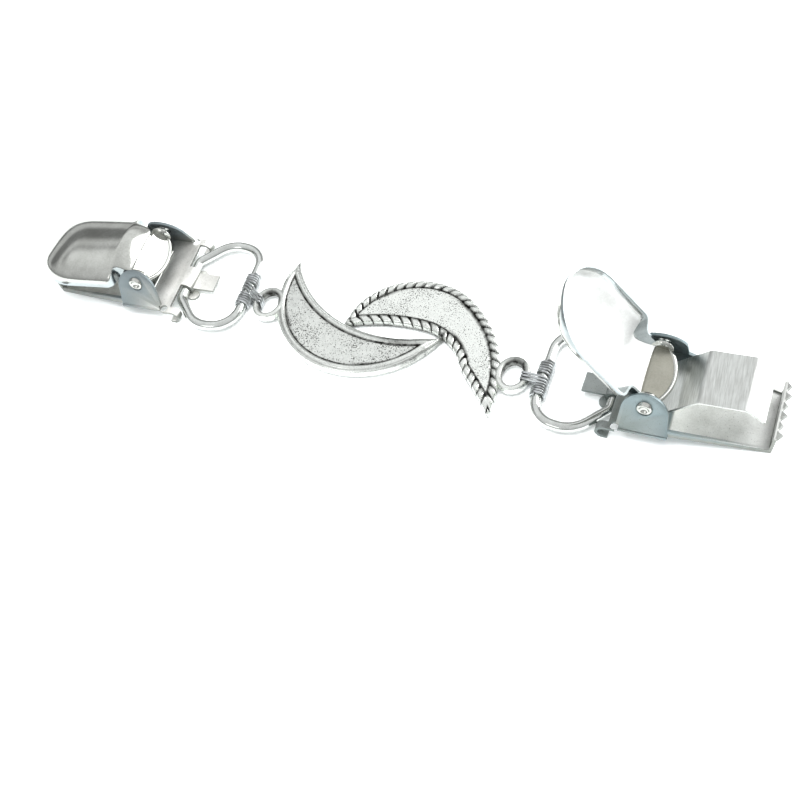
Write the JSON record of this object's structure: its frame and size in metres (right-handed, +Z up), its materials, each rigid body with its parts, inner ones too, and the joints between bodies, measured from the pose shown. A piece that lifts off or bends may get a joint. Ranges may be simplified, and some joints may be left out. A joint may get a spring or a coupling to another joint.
{
  "type": "cardigan clip",
  "caption": "Cardigan clip: hinged lever clips on wire rings, joined by a cast crossed-crescent ornament; one clip shut, the other open",
  "frame": {"origin": "on the surface under the middle of the whole part", "axes": "+X along the chain from the shut clip to the open one, +Z up from the surface, +Y across the chain"},
  "size_m": [0.1438, 0.0326, 0.0275],
  "materials": {
    "clip_steel": "bright nickel plate, slightly worn",
    "tongue_steel": "spring steel, brushed across",
    "ring_steel": "bright nickel plate",
    "lashing": "dull grey wire",
    "ornament": "antiqued silver plate, dark in the grooves"
  },
  "bodies": {
    "chain": {"crescent_ornament": "ornament", "left_d_ring": "ring_steel", "left_wire_wrap": "lashing", "right_d_ring": "ring_steel", "right_wire_wrap": "lashing"},
    "left_clip": {"left_base": "clip_steel"},
    "left_flap": {"left_lever": "clip_steel"},
    "left_leaf": {"left_tongue": "tongue_steel"},
    "right_clip": {"right_base": "clip_steel"},
    "right_flap": {"right_lever": "clip_steel"},
    "right_leaf": {"right_tongue": "tongue_steel"}
  },
  "joints": [
    {"name": "left_clip_swing", "type": "hinge", "parent": "chain", "child": "left_clip", "pos_m": [-0.04155, 0.00569, 0.0015], "axis": [-0.0209, -0.9998, 0], "range_deg": [-60, 60]},
    {"name": "left_flap_hinge", "type": "hinge", "parent": "left_clip", "child": "left_flap", "pos_m": [-0.04795, 0.00582, 0.0078], "axis": [0.0209, 0.9998, 0], "range_deg": [0, 132]},
    {"name": "left_leaf_flex", "type": "hinge", "parent": "left_clip", "child": "left_leaf", "pos_m": [-0.04585, 0.00578, 0.00325], "axis": [0.0209, 0.9998, 0], "range_deg": [-0.01, 5.51], "stiffness_Nm_per_rad": 0.0002, "springref_deg": 25.78},
    {"name": "right_clip_swing", "type": "hinge", "parent": "chain", "child": "right_clip", "pos_m": [0.04375, -0.00606, 0.0015], "axis": [0.0706, 0.9975, 0], "range_deg": [-60, 60]},
    {"name": "right_flap_hinge", "type": "hinge", "parent": "right_clip", "child": "right_flap", "pos_m": [0.05013, -0.00651, 0.0078], "axis": [-0.0706, -0.9975, 0], "range_deg": [-132, 0]},
    {"name": "right_leaf_flex", "type": "hinge", "parent": "right_clip", "child": "right_leaf", "pos_m": [0.04804, -0.00637, 0.00325], "axis": [-0.0706, -0.9975, 0], "range_deg": [-5.51, 0.01], "stiffness_Nm_per_rad": 0.0002, "springref_deg": 20.05}
  ],
  "couplings": [
    {"joint": "left_leaf_flex", "follows": "left_flap_hinge", "ratio": 0.041667},
    {"joint": "right_leaf_flex", "follows": "right_flap_hinge", "ratio": 0.041667}
  ]
}
